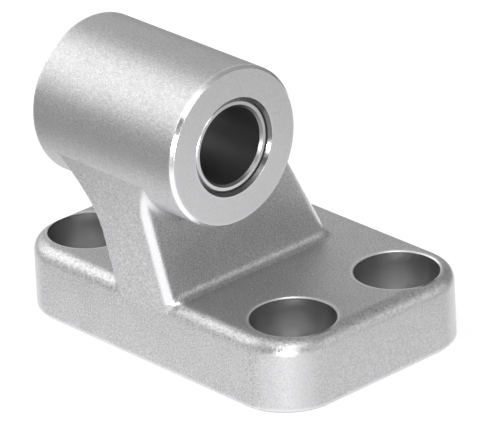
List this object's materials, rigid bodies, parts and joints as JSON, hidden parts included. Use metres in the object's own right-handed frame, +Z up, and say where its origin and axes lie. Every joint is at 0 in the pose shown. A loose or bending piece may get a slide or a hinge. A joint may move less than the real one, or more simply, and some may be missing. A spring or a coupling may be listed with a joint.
{
  "type": "cylinder bearing block",
  "caption": "Right-angle trunnion bearing block: a flat bolted base, a leaning web and a cross tube with a pressed plain bush for a pivot pin.",
  "frame": {"origin": "centre of the four-screw pattern, on the mounting face", "axes": "+Z up out of the mounting face, +X along the pivot bore, +Y across the base away from the side that the boss leans over"},
  "size_m": [0.0514, 0.0394, 0.0424],
  "materials": {
    "cast_aluminium": "satin, blasted casting",
    "bush": "smooth, half bright"
  },
  "bodies": {
    "root": {"bearing_block": "cast_aluminium", "pivot_bush": "bush"}
  },
  "joints": []
}
